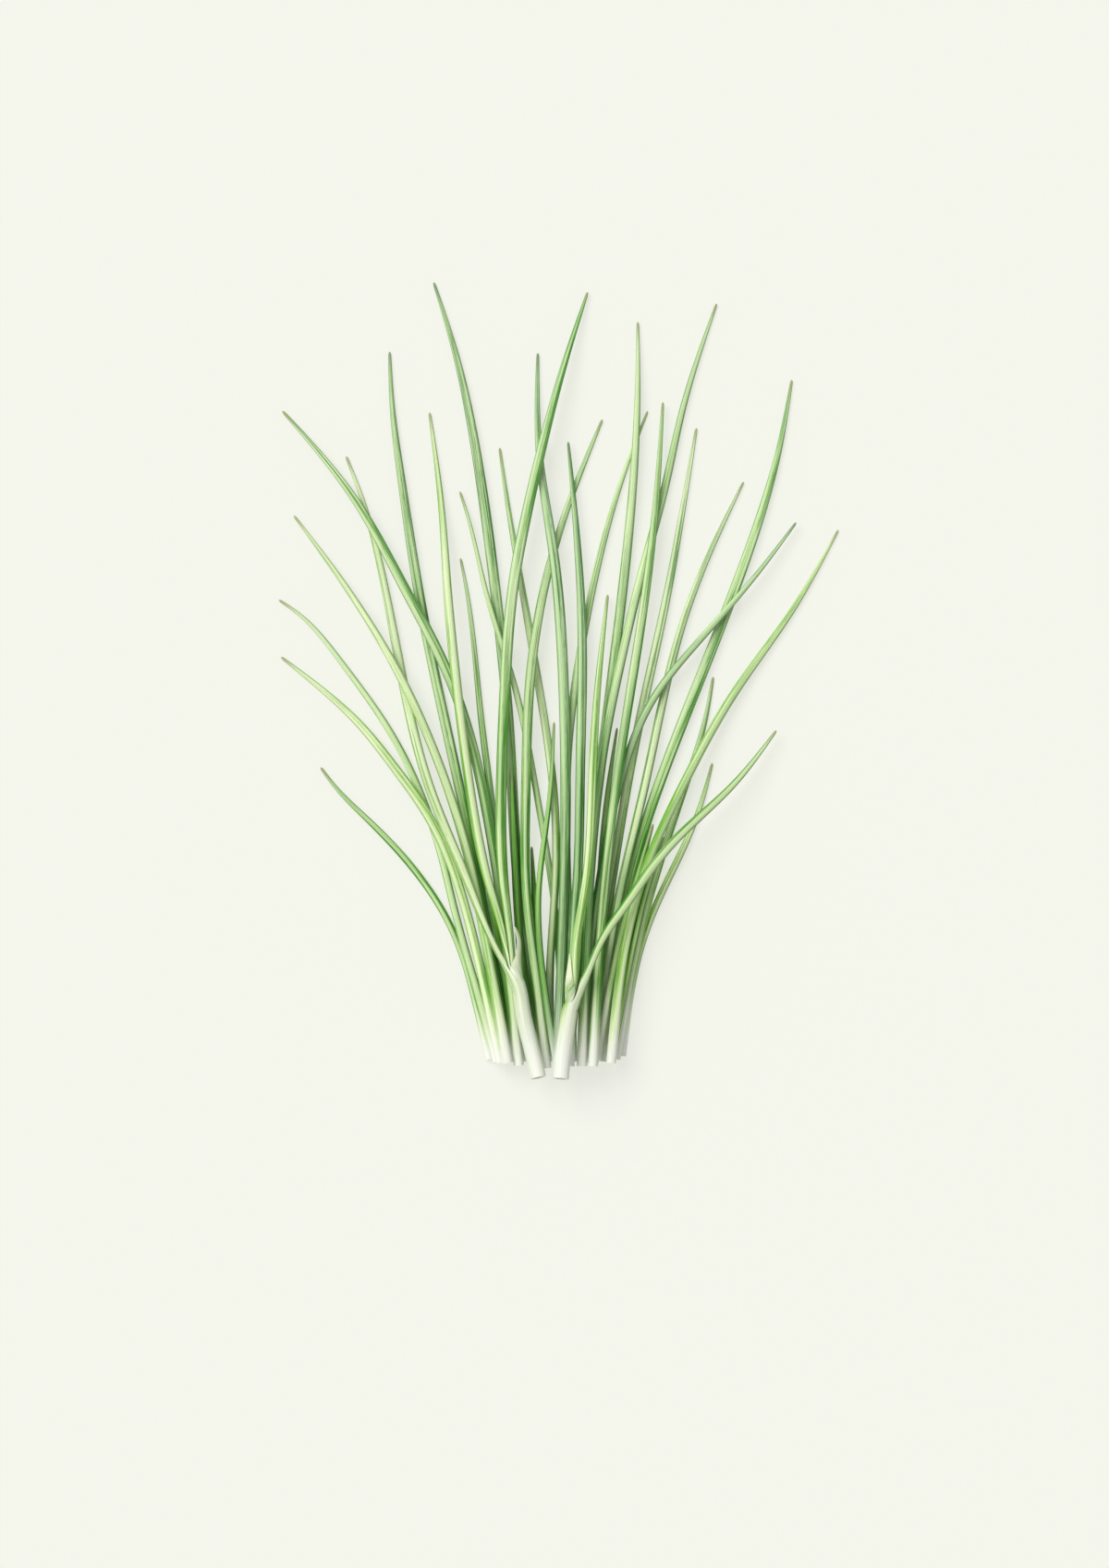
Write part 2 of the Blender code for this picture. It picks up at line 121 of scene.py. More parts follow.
class Course:
    """The middle line of a leaf in the frame, with the length from the cut and the radius.

    neck: how far the foot holds its width, over what length it narrows, how wide it then is, and
    over what length it widens again.
    """

    def __init__(self, node, width, foot_width, points, neck=None):
        neck = neck or (FOOT_HOLD, FOOT_CHANGE, width, FOOT_CHANGE)
        fine = spline_through(points) + CUT_LINE
        reached = np.concatenate([[0.0], np.cumsum(np.linalg.norm(np.diff(fine, axis=0), axis=1))])
        self.total = reached[-1]
        even = np.linspace(0.0, self.total - TIP_ROUNDING, int(self.total / RING_STEP))
        self.lengths = np.append(even, self.total - TIP_ROUNDING * np.array(TIP_RINGS))
        plan = np.column_stack([np.interp(self.lengths, reached, fine[:, k]) for k in (0, 1)])
        body = leaf_radius(width, foot_width, neck, self.lengths, self.total)
        self.line = np.column_stack([plan, self.levelled(self.underside(node, plan) + body * UNDERSIDE)])
        ahead = np.gradient(self.line, axis=0)
        self.ahead = ahead / np.linalg.norm(ahead, axis=1)[:, None]
        closing = np.clip((self.lengths - self.total + TIP_ROUNDING) / TIP_ROUNDING, 0.0, TIP_CLOSED)
        self.radius = body * np.sqrt(1.0 - closing ** 2)

    def underside(self, node, plan):
        """Height of the CAD tube's underside below each point."""
        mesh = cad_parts[node].data
        places = [vertex.co / MM for vertex in mesh.vertices]
        tree = BVHTree.FromPolygons(places, [tuple(face.vertices) for face in mesh.polygons])
        hits = [tree.ray_cast(Vector((x, y, FAR_BELOW)), Vector((0.0, 0.0, 1.0)))[0] for x, y in plan]
        found = np.array([hit is not None for hit in hits])
        return np.interp(self.lengths, self.lengths[found], [hit.z for hit in hits if hit is not None])

    def levelled(self, height):
        """The height with its corners rounded."""
        weight = np.exp(-0.5 * ((self.lengths[:, None] - self.lengths[None, :]) / LEVELLING) ** 2)
        weight *= np.gradient(self.lengths)[None, :]
        return weight @ height / weight.sum(axis=1)


def put(tree, kind, sockets=None, **settings):
    """A new node with its settings; its inputs, by name or number, are linked or given a value."""
    node = tree.nodes.new(kind)
    for setting, value in settings.items():
        setattr(node, setting, value)
    for key, value in (sockets or {}).items():
        if isinstance(value, bpy.types.NodeSocket):
            tree.links.new(value, node.inputs[key])
        else:
            node.inputs[key].default_value = value
    return node


def calc(tree, operation, *values, kind="ShaderNodeMath"):
    """The result of a math node."""
    node = put(tree, kind, dict(enumerate(values)), operation=operation)
    return node.outputs["Value"] if operation in ("DOT_PRODUCT", "LENGTH") else node.outputs[0]


def vector_calc(tree, operation, *values):
    """The result of a vector math node."""
    return calc(tree, operation, *values, kind="ShaderNodeVectorMath")


def scaled(tree, vector, factor):
    """The vector times a number that may change over the surface."""
    node = put(tree, "ShaderNodeVectorMath", {"Vector": vector, "Scale": factor}, operation="SCALE")
    return node.outputs[0]


def ramp(tree, value, start, end, low=0.0, high=1.0):
    """A smooth passage from low to high as the value goes from start to end."""
    node = put(tree, "ShaderNodeMapRange", {"Value": value, "From Min": start, "From Max": end,
                                            "To Min": low, "To Max": high},
               interpolation_type="SMOOTHSTEP")
    return node.outputs["Result"]


def turned_side(tree, turn):
    """The direction in the section that stands at the given turn round it."""
    place = {"X": calc(tree, "COSINE", turn), "Y": calc(tree, "SINE", turn)}
    return put(tree, "ShaderNodeCombineXYZ", place).outputs[0]


def colour(code):
    """A colour from its six-figure code, as linear light."""
    parts = [int(code[i:i + 2], 16) / 255 for i in (0, 2, 4)]
    linear = [part / 12.92 if part < 0.04045 else ((part + 0.055) / 1.055) ** 2.4 for part in parts]
    return (*linear, 1.0)


def add_sockets(tree, side, rows):
    """Sockets of a node group: each one's name, kind and, if it has any, the value it starts with."""
    for name, kind, *value in rows:
        socket = tree.interface.new_socket(name, in_out=side, socket_type=f"NodeSocket{kind.title()}")
        if value:
            socket.default_value = colour(*value) if kind == "COLOR" else value[0]


TUBE_SIZES = (
    ("Sides", "INT", SIDES),
    ("Height", "FLOAT", SECTION_HEIGHT),
    ("Groove Depth", "FLOAT", 0.26),   # of a shallow channel along the leaf, in radii
    ("Groove Turn", "FLOAT", 0.0),     # its place round the section at the foot, in radians
    ("Groove Twist", "FLOAT", GROOVE_TWIST),
    ("Vein Ribs", "FLOAT", 11.0),      # round the leaf
    ("Vein Height", "FLOAT", 0.015),   # in radii
    ("Unevenness", "FLOAT", 0.05),     # narrowings along the leaf, in radii
    ("Hollow Width", "FLOAT", 0.76),   # at the cut, as a share of the leaf's
    ("Hollow Depth", "FLOAT", 0.012),  # in metres
    ("Seed", "FLOAT", 0.0),
)


def leaf_tube_tree():
    """Geometry Nodes that sweep a leaf's tube along its path and open it at the cut."""
    tree = bpy.data.node_groups.new("leaf_tube", "GeometryNodeTree")
    add_sockets(tree, "INPUT", (("Geometry", "GEOMETRY"), *TUBE_SIZES, ("Material", "MATERIAL")))
    add_sockets(tree, "OUTPUT", (("Geometry", "GEOMETRY"),))
    size = put(tree, "NodeGroupInput").outputs

    # The path, with its place, direction, length and radius kept on each point
    curve = put(tree, "GeometryNodeMeshToCurve", {"Mesh": size["Geometry"]}).outputs["Curve"]
    radius = put(tree, "GeometryNodeInputNamedAttribute", {"Name": "radius"}, data_type="FLOAT").outputs[0]
    path = put(tree, "GeometryNodeCaptureAttribute")
    for name, kind in (("Middle", "VECTOR"), ("Ahead", "VECTOR"), ("Along", "FLOAT"), ("Radius", "FLOAT")):
        path.capture_items.new(kind, name)
    tree.links.new(curve, path.inputs["Geometry"])
    tree.links.new(put(tree, "GeometryNodeInputPosition").outputs[0], path.inputs["Middle"])
    tree.links.new(put(tree, "GeometryNodeInputTangent").outputs[0], path.inputs["Ahead"])
    tree.links.new(put(tree, "GeometryNodeSplineParameter").outputs["Length"], path.inputs["Along"])
    tree.links.new(radius, path.inputs["Radius"])

    # The round section, with each point's direction kept
    circle = put(tree, "GeometryNodeCurvePrimitiveCircle", {"Resolution": size["Sides"], "Radius": MM})
    section = put(tree, "GeometryNodeCaptureAttribute")
    section.capture_items.new("VECTOR", "Ring")
    tree.links.new(circle.outputs["Curve"], section.inputs["Geometry"])
    direction = vector_calc(tree, "NORMALIZE", put(tree, "GeometryNodeInputPosition").outputs[0])
    tree.links.new(direction, section.inputs["Ring"])
    sweep = put(tree, "GeometryNodeCurveToMesh", {
        "Curve": path.outputs["Geometry"], "Profile Curve": section.outputs["Geometry"], "Fill Caps": True})

    # The section's shape: a groove that winds slowly round, low veins and an uneven width
    along = path.outputs["Along"]
    ring = section.outputs["Ring"]
    turn = calc(tree, "MULTIPLY_ADD", along, size["Groove Twist"], size["Groove Turn"])
    facing = calc(tree, "MAXIMUM", vector_calc(tree, "DOT_PRODUCT", ring, turned_side(tree, turn)), 0.0)
    groove = calc(tree, "MULTIPLY", calc(tree, "POWER", facing, GROOVE_SHARPNESS), size["Groove Depth"])
    groove = calc(tree, "MULTIPLY", groove, ramp(tree, along, *GROOVE_START))
    parts = put(tree, "ShaderNodeSeparateXYZ", {0: ring}).outputs
    around = calc(tree, "ARCTAN2", parts["Y"], parts["X"])
    veins = calc(tree, "COSINE", calc(tree, "MULTIPLY", around, size["Vein Ribs"]))
    veins = calc(tree, "MULTIPLY", calc(tree, "SUBTRACT", 1.0, veins), size["Vein Height"])
    waves = {"W": calc(tree, "ADD", along, size["Seed"]), "Scale": WIDTH_WAVES, "Detail": 1.0}
    noise = put(tree, "ShaderNodeTexNoise", waves, noise_dimensions="1D").outputs[0]
    narrow = calc(tree, "MULTIPLY", noise, size["Unevenness"])
    share = calc(tree, "SUBTRACT", 1.0, calc(tree, "ADD", groove, calc(tree, "ADD", veins, narrow)))
    reach = calc(tree, "MULTIPLY", share, path.outputs["Radius"])
    ahead = path.outputs["Ahead"]
    across = vector_calc(tree, "NORMALIZE", vector_calc(tree, "CROSS_PRODUCT", ahead, (0, 0, 1)))
    upward = vector_calc(tree, "CROSS_PRODUCT", across, ahead)
    level = scaled(tree, across, calc(tree, "MULTIPLY", parts["X"], reach))
    rise = scaled(tree, scaled(tree, upward, size["Height"]), calc(tree, "MULTIPLY", parts["Y"], reach))
    place = vector_calc(tree, "ADD", path.outputs["Middle"], vector_calc(tree, "ADD", level, rise))
    shaped = put(tree, "GeometryNodeSetPosition", {"Geometry": sweep.outputs["Mesh"], "Position": place})
    turned = put(tree, "GeometryNodeFlipFaces", {"Mesh": shaped.outputs[0]})

    # The hollow at the cut: the end face is narrowed by the wall and pushed in
    end_face = {"A": along, "B": 0.2 * RING_STEP * MM}
    at_cut = put(tree, "FunctionNodeCompare", end_face, data_type="FLOAT", operation="LESS_THAN").outputs[0]
    rim = put(tree, "GeometryNodeExtrudeMesh", {
        "Mesh": turned.outputs[0], "Selection": at_cut, "Offset Scale": 0.0, "Individual": False})
    mouth = put(tree, "GeometryNodeScaleElements", {
        "Geometry": rim.outputs["Mesh"], "Selection": rim.outputs["Top"], "Scale": size["Hollow Width"]})
    hollow = put(tree, "GeometryNodeExtrudeMesh", {
        "Mesh": mouth.outputs[0], "Selection": rim.outputs["Top"],
        "Offset Scale": calc(tree, "MULTIPLY", size["Hollow Depth"], -1.0), "Individual": False})
    smooth = put(tree, "GeometryNodeSetShadeSmooth", {"Geometry": hollow.outputs["Mesh"]})
    whole = put(tree, "GeometryNodeRealizeInstances", {"Geometry": smooth.outputs[0]})
    done = put(tree, "GeometryNodeSetMaterial", {"Geometry": whole.outputs[0], "Material": size["Material"]})
    put(tree, "NodeGroupOutput", {"Geometry": done.outputs[0]})
    return tree


LEAF_TUBE = leaf_tube_tree()
SOCKETS = {item.name: item.identifier for item in LEAF_TUBE.interface.items_tree if item.in_out == "INPUT"}
BLOCK = 4000                    # points that mark_grain takes at a time
THINNEST = 0.1                  # least radius that it reckons with


def placed(name, data):
    """A new object in the scene."""
    made = bpy.data.objects.new(name, data)
    bpy.context.scene.collection.objects.link(made)
    return made


def evaluated(piece):
    """A plain mesh of the object as its modifiers leave it."""
    graph = bpy.context.evaluated_depsgraph_get()
    return bpy.data.meshes.new_from_object(piece.evaluated_get(graph))


def sweep_leaf(name, course, material, **sizes):
    """A plain mesh object of the leaf's tube along its course."""
    mesh = bpy.data.meshes.new(f"{name}_path")
    mesh.from_pydata((course.line * MM).tolist(), [(i, i + 1) for i in range(len(course.line) - 1)], [])
    radius = mesh.attributes.new("radius", "FLOAT", "POINT")
    radius.data.foreach_set("value", (course.radius * MM).astype(np.float32))
    path = placed(f"{name}_path", mesh)
    modifier = path.modifiers.new("leaf_tube", "NODES")
    modifier.node_group = LEAF_TUBE
    for size, value in sizes.items():
        modifier[SOCKETS[size.replace("_", " ").title()]] = value
    modifier[SOCKETS["Material"]] = material
    made = evaluated(path)
    bpy.data.objects.remove(path)
    made.name = name
    return placed(name, made)


def mark_grain(piece, course):
    """Keep on the mesh, for its material, how far along its leaf a point is, and where in the section."""
    mesh = piece.data
    places = np.zeros(len(mesh.vertices) * 3)
    mesh.vertices.foreach_get("co", places)
    places = places.reshape(-1, 3) / MM
    nearest = np.empty(len(places), dtype=int)
    for start in range(0, len(places), BLOCK):
        gaps = np.linalg.norm(places[start:start + BLOCK, None] - course.line[None], axis=2)
        nearest[start:start + BLOCK] = gaps.argmin(axis=1)
    ahead = course.ahead[nearest]
    offset = places - course.line[nearest]
    across, upward = section_axes(ahead)
    along = course.lengths[nearest] + (offset * ahead).sum(axis=1)
    radius = np.maximum(np.interp(along, course.lengths, course.radius), THINNEST)
    ring = np.zeros((len(places), 3))
    ring[:, 0] = (offset * across).sum(axis=1) / radius
    ring[:, 1] = (offset * upward).sum(axis=1) / (radius * SECTION_HEIGHT)
    marks = (("along", "FLOAT", "value", along), ("ring", "FLOAT_VECTOR", "vector", ring))
    for name, kind, key, values in marks:
        attribute = mesh.attributes.new(name, kind, "POINT")
        attribute.data.foreach_set(key, values.astype(np.float32).ravel())


def mixed(tree, share, first, second):
    """Two colours mixed."""
    node = put(tree, "ShaderNodeMix", {0: share, 6: first, 7: second}, data_type="RGBA")
    return node.outputs[2]


SKIN_INPUTS = (
    ("Foot", "COLOR", "eceee6"),      # at the cut
    ("Neck", "COLOR", "bcd68a"),      # where the foot turns green
    ("Blade", "COLOR", "72b436"),
    ("Upper", "COLOR", "a9cf82"),     # towards the tip
    ("Tip", "COLOR", "9da478"),       # the dry end
    ("Shade", "COLOR", "2a8212"),     # deep green: painted shade on flanks, channel and deep stretch; also deep stripes, washes, veins, tip
    ("Light", "COLOR", "dcefbc"),     # the pale streak, a painted highlight, and the paler stripes and veins
    ("Inside", "COLOR", "dfe9c4"),    # tissue at the cut
    ("Hollow", "COLOR", "8aa65e"),    # deeper in the hollow: painted shade
    ("Lip", "COLOR", "dfe6c8"),       # the thin edge that stands up beside a sheath's mouth
    ("Foot Length", "FLOAT", 8.0),
    ("Neck Length", "FLOAT", 30.0),
    ("Upper From", "FLOAT", 75.0),
    ("Upper To", "FLOAT", 150.0),
    ("Deep From", "FLOAT", 20.0),     # the stretch painted a deeper green, as shade
    ("Deep To", "FLOAT", 100.0),
    ("Deep Strength", "FLOAT", 0.3),
    ("Tip Strength", "FLOAT", 0.25),  # how much deeper the green is towards the tip
    ("Leaf Length", "FLOAT", 240.0),
    ("Streak Turn", "FLOAT", 1.2),    # place of the pale streak, a painted highlight, round the section, in radians
    # how strongly that painted highlight shows
    ("Streak Strength", "FLOAT", 0.8),
    ("Groove Turn", "FLOAT", 2.5),    # place of the shallow channel, painted deep green as the shade in it
    # how strongly the flanks are painted in shade
    ("Flank Strength", "FLOAT", 0.75),
    ("Inside Length", "FLOAT", 16.0),
    ("Seed", "FLOAT", 0.0),
)
NOISES = {                      # stretch along the leaf, scale, detail, and what its seed adds
    "wander": (0.03, 1.8, 2.0, 0.0),
    "wash": (0.009, 1.0, 2.0, 31.0),
    "drift": (0.012, 1.0, 1.0, 7.0),
    "grain": (0.035, 5.5, 3.0, 3.0),
    "stripes": (0.012, 2.2, 2.0, 23.0),
    "breaks": (0.03, 3.0, 2.0, 11.0),
    "bloom": (0.02, 0.8, 2.0, 19.0),
    "pores": (0.5, 9.0, 2.0, 5.0),
}
WANDER = 24.0                   # how far the zones of colour wander along the leaf
DRIFT = 3.0                     # radians that the pale streak wanders round it
DEEP_START = (-12.0, 10.0)      # how softly the deep green stretch, a painted shade, begins, about its first end
DEEP_END = (-12.0, 22.0)        # and ends, about its other end
LIP_REACH = 60.0                # no lip stands further from the cut
DRYING = (12.0, 4.0)            # from the tip, where the dry end begins and is fully dry
GRAIN_SHIFT = 7.0               # by which the grain makes that end ragged
BLOOM = "dfe8dc"                # the colour of the wax bloom
SHOWS = {                       # how much of its colour each pattern gives where it is strongest
    "deep wash": 0.45,
    "pale wash": 0.35,
    "pale leaf": 0.3,       # one whole leaf against the next
    "deep leaf": 0.28,
    "fine stripes": 0.75,   # against the coarse ones
    "left flank": 0.9,      # painted shade on the left flank, against the right one
    "pale veins": 0.3,
    "deep veins": 0.16,
    "bloom": 0.16,
    "dry tip": 0.8,
    "green in the lip": 0.45,
}
ROUGHNESS = {"skin": 0.38, "bloom": 0.2, "grain": 0.12, "dry or cut": 0.25}
RELIEF = {"pores": 0.35, "veins": 0.4}


def skin_group():
    """Shader nodes of a chive's skin: its colour, roughness and fine relief, along and round the leaf."""
    tree = bpy.data.node_groups.new("chive_skin", "ShaderNodeTree")
    add_sockets(tree, "INPUT", SKIN_INPUTS)
    add_sockets(tree, "OUTPUT", (("Color", "COLOR"), ("Roughness", "FLOAT"), ("Height", "FLOAT")))
    given = put(tree, "NodeGroupInput").outputs
    along = put(tree, "ShaderNodeAttribute", attribute_name="along").outputs["Fac"]
    ring = put(tree, "ShaderNodeAttribute", attribute_name="ring").outputs["Vector"]
    parts = put(tree, "ShaderNodeSeparateXYZ", {0: ring}).outputs
    reach = vector_calc(tree, "LENGTH", ring)

    def noise(name):
        """Noise that is stretched along the leaf, seeded for each leaf."""
        stretch, scale, detail, shift = NOISES[name]
        place = put(tree, "ShaderNodeCombineXYZ", {
            "X": parts["X"], "Y": parts["Y"], "Z": calc(tree, "MULTIPLY", along, stretch)})
        seed = calc(tree, "ADD", given["Seed"], shift)
        inputs = {"Vector": place.outputs[0], "W": seed, "Scale": scale, "Detail": detail}
        return put(tree, "ShaderNodeTexNoise", inputs, noise_dimensions="4D").outputs[0]

    def times(first, second):
        return calc(tree, "MULTIPLY", first, second)

    def straight(value, slope, start):
        """A value that is start at 0 and changes by the slope."""
        return calc(tree, "MULTIPLY_ADD", value, slope, start)

    def larger(first, second):
        return calc(tree, "MAXIMUM", first, second)

    def deeper(share):
        """The colour so far, mixed with the deep green."""
        return mixed(tree, share, body, given["Shade"])

    def facing(turn):
        """How closely a point of the section faces the given turn round it."""
        return vector_calc(tree, "DOT_PRODUCT", ring, turned_side(tree, turn))

    # Along the leaf: from the pale foot through the neck and the green blade to the paler upper part
    place = calc(tree, "ADD", along, straight(noise("wander"), WANDER, -WANDER / 2))
    neck_end = calc(tree, "ADD", given["Foot Length"], given["Neck Length"])
    past_foot = ramp(tree, place, times(given["Foot Length"], 0.4), times(neck_end, 0.5))
    body = mixed(tree, past_foot, given["Foot"], given["Neck"])
    body = mixed(tree, ramp(tree, place, times(neck_end, 0.4), neck_end), body, given["Blade"])
    body = mixed(tree, ramp(tree, place, given["Upper From"], given["Upper To"]), body, given["Upper"])
    greening = ramp(tree, place, given["Foot Length"], neck_end)
    paler = mixed(tree, greening, given["Foot"], given["Light"])

    # Washes of deeper and paler green that run along it, and one leaf a little paler than the next
    wash = noise("wash")
    # The deep green stretch is painted shade
    rising = ramp(tree, place, *[calc(tree, "ADD", given["Deep From"], shift) for shift in DEEP_START])
    falling = ramp(tree, place, *[calc(tree, "ADD", given["Deep To"], shift) for shift in DEEP_END], 1.0, 0.0)
    shaded = times(times(rising, falling), given["Deep Strength"])
    body = deeper(times(shaded, ramp(tree, wash, 0.3, 0.6, 0.7, 1.0)))
    deep_wash = times(ramp(tree, wash, 0.5, 0.7), times(greening, SHOWS["deep wash"]))
    body = deeper(deep_wash)
    towards_tip = ramp(tree, calc(tree, "DIVIDE", along, given["Leaf Length"]), 0.72, 1.0)
    body = deeper(times(towards_tip, given["Tip Strength"]))
    body = mixed(tree, ramp(tree, wash, 0.48, 0.3, 0.0, SHOWS["pale wash"]), body, paler)
    whim = put(tree, "ShaderNodeTexWhiteNoise", {"W": given["Seed"]}, noise_dimensions="1D").outputs[0]
    body = mixed(tree, ramp(tree, whim, 0.55, 1.0, 0.0, SHOWS["pale leaf"]), body, paler)
    deep_leaf = times(ramp(tree, whim, 0.45, 0.0, 0.0, SHOWS["deep leaf"]), greening)
    body = deeper(deep_leaf)

    # Round the leaf: a pale streak that wanders, which is a painted highlight, and coarse stripes;
    # the deep channel and the deep flanks are painted shade, the right flank, away from the light, most
    drift = straight(noise("drift"), DRIFT, -DRIFT / 2)
    highlight_side = facing(calc(tree, "ADD", given["Streak Turn"], drift))
    # The pale streak is a painted highlight, weaker where the deep stretch is painted as shade
    highlight_streak = times(ramp(tree, highlight_side, 0.6, 0.98), given["Streak Strength"])
    highlight_streak = times(highlight_streak, straight(shaded, -0.75, 1.0))
    grain = noise("grain")
    stripes = noise("stripes")
    pale = times(ramp(tree, stripes, 0.5, 0.38), straight(shaded, -0.5, 0.85))
    fine = times(ramp(tree, grain, 0.5, 0.66), SHOWS["fine stripes"])
    deep = larger(ramp(tree, stripes, 0.52, 0.62), fine)
    deep = times(deep, straight(greening, 0.68, 0.14))
    channel_side = facing(straight(along, GROOVE_TWIST * MM, given["Groove Turn"]))
    channel_shade = times(ramp(tree, channel_side, 0.72, 0.97), straight(greening, 0.62, 0.1))
    # Painted shade on the flanks, deeper on the right flank, which faces away from the light
    right = ramp(tree, parts["X"], 0.42, 0.96)
    left = times(ramp(tree, parts["X"], -0.64, -0.96), SHOWS["left flank"])
    flank_shade = times(larger(right, left), given["Flank Strength"])
    flank_shade = times(flank_shade, straight(greening, 0.8, 0.2))
    body = deeper(deep)
    body = mixed(tree, larger(highlight_streak, pale), body, paler)
    body = deeper(larger(flank_shade, channel_shade))

    # The veins: fine lines from end to end, a little paler than the skin between them
    around = calc(tree, "ARCTAN2", parts["Y"], parts["X"])
    lines = calc(tree, "COSINE", times(around, VEINS))
    broken = ramp(tree, noise("breaks"), 0.35, 0.6)
    pale_veins = times(ramp(tree, lines, 0.1, 1.0), times(broken, SHOWS["pale veins"]))
    body = mixed(tree, pale_veins, body, paler)
    deep_veins = times(ramp(tree, lines, -0.3, -1.0), times(greening, SHOWS["deep veins"]))
    body = deeper(deep_veins)

    # Wax bloom in soft patches, and the dry tip
    bloom = times(ramp(tree, noise("bloom"), 0.45, 0.8), ramp(tree, place, 60.0, 160.0, 0.25, 1.0))
    body = mixed(tree, times(bloom, SHOWS["bloom"]), body, colour(BLOOM))
    left_over = calc(tree, "SUBTRACT", given["Leaf Length"], along)
    dry = ramp(tree, straight(grain, GRAIN_SHIFT, left_over), *DRYING)
    body = mixed(tree, times(dry, SHOWS["dry tip"]), body, given["Tip"])

    # The lip beside a mouth, and the cut face and the walls of the hollow, which have no skin
    outside = times(ramp(tree, reach, 1.1, 3.2), calc(tree, "LESS_THAN", along, LIP_REACH))
    green_lip = times(ramp(tree, grain, 0.45, 0.7), SHOWS["green in the lip"])
    body = mixed(tree, outside, body, mixed(tree, green_lip, given["Lip"], given["Neck"]))
    within = times(ramp(tree, reach, 0.93, 0.84), calc(tree, "LESS_THAN", along, given["Inside Length"]))
    # the walls of the hollow turn darker further in: painted shade
    flesh_and_hollow_shade = mixed(tree, ramp(tree, along, 1.0, 9.0), given["Inside"], given["Hollow"])
    body = mixed(tree, within, body, flesh_and_hollow_shade)

    rough = straight(bloom, ROUGHNESS["bloom"], ROUGHNESS["skin"])
    rough = straight(grain, ROUGHNESS["grain"], rough)
    rough = calc(tree, "ADD", rough, times(larger(dry, within), ROUGHNESS["dry or cut"]))
    height = straight(noise("pores"), RELIEF["pores"], times(lines, RELIEF["veins"]))
    put(tree, "NodeGroupOutput", {"Color": body, "Roughness": rough, "Height": height})
    return tree


SKIN = skin_group()
GREENS = {
    "fresh": {"Blade": "72b436", "Upper": "b2d290", "Shade": "2a8212", "Light": "dcefbc"},
    "yellow": {"Neck": "daecaa", "Blade": "a4d45a", "Upper": "c0dc94", "Shade": "56a020", "Light": "e8f4c8"},
    "blue": {"Neck": "b8d88e", "Blade": "4c9432", "Upper": "a8cc98", "Shade": "1a6a1a", "Light": "c8e4ac",
             "Tip": "84947a"},
    # deep: dark greens painted as shade, for leaves deep in the bunch
    "deep": {"Neck": "a8d074", "Blade": "4c9426", "Upper": "60a83a", "Shade": "1c6410", "Light": "94ce5e"},
}
WAXY = {                        # what is the same all over the skin
    "Subsurface Weight": 0.1,
    "Subsurface Radius": (0.6, 1.0, 0.3),
    "Subsurface Scale": 0.5 * MM,
    "Specular IOR Level": 0.2,
}
CHANNEL_ASIDE = 1.25            # radians between a leaf's pale streak, a painted highlight, and its channel, painted shade
SEED_STEP = 3.7


def skin_material(name, tone, length, **changes):
    """The skin of one leaf: its own greens, length and streak, in the shared group."""
    material = bpy.data.materials.new(f"{name}_skin")
    material.use_nodes = True
    tree = material.node_tree
    shader = tree.nodes["Principled BSDF"]
    skin = put(tree, "ShaderNodeGroup", node_tree=SKIN)
    values = {"Leaf Length": length, **GREENS[tone]}
    values.update({key.replace("_", " "): value for key, value in changes.items()})
    for key, value in values.items():
        skin.inputs[key].default_value = colour(value) if isinstance(value, str) else value
    relief = put(tree, "ShaderNodeBump", {
        "Height": skin.outputs["Height"], "Strength": 0.35, "Distance": 0.12 * MM})
    tree.links.new(skin.outputs["Color"], shader.inputs["Base Color"])
    tree.links.new(skin.outputs["Roughness"], shader.inputs["Roughness"])
    tree.links.new(relief.outputs["Normal"], shader.inputs["Normal"])
    for socket, value in WAXY.items():
        shader.inputs[socket].default_value = value
    return material


def make_leaf(node, course, tone, turn, groove, seed, tube, look):
    """A leaf's tube in a skin of its own, with its streak and its channel at these turns."""
    skin = skin_material(node, tone, course.total, Streak_Turn=turn, Groove_Turn=groove, Seed=seed, **look)
    return sweep_leaf(f"{node}_blade", course, skin, groove_turn=groove, seed=seed, **tube)


def finish_leaf(piece, course, node):
    """The last steps for every leaf: grain, body, and hiding its CAD node."""
    mark_grain(piece, course)
    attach(piece, "root")
    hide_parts(node)


def next_seed():
    """A seed of its own for each leaf, from how many skins there are already."""
    return len(bpy.data.materials) * SEED_STEP


def channel_turn(turn):
    """The channel's place round the section: to the side of the pale streak, on top of the leaf."""
    return turn + CHANNEL_ASIDE if turn < np.pi / 2 else turn - CHANNEL_ASIDE


def grow_leaf(node, width, foot_width, points, tone, turn, deep, own=None, **look):
    """One whole leaf that lies free of the sheaths.

    deep: where its deep green stretch, a painted shade, starts and ends, and how strong it is. own:
    what else sets its colour apart.
    """
    course = Course(node, width, foot_width, points)
    start, end, strength = deep
    look.update(Deep_From=start, Deep_To=end, Deep_Strength=strength, **(own or {}))
    piece = make_leaf(node, course, tone, turn, channel_turn(turn), next_seed(), {}, look)
    finish_leaf(piece, course, node)


# A long pale foot, paler than it would be: painted light against the shade of the leaves over it
PAINTED_LIGHT_FOOT = {"Neck": "e0ecc0", "Foot_Length": 14.0}
BRIGHT = {"Blade": "86c048", "Upper": "acd486", "Light": "d0eaa6"}     # where more light reaches in

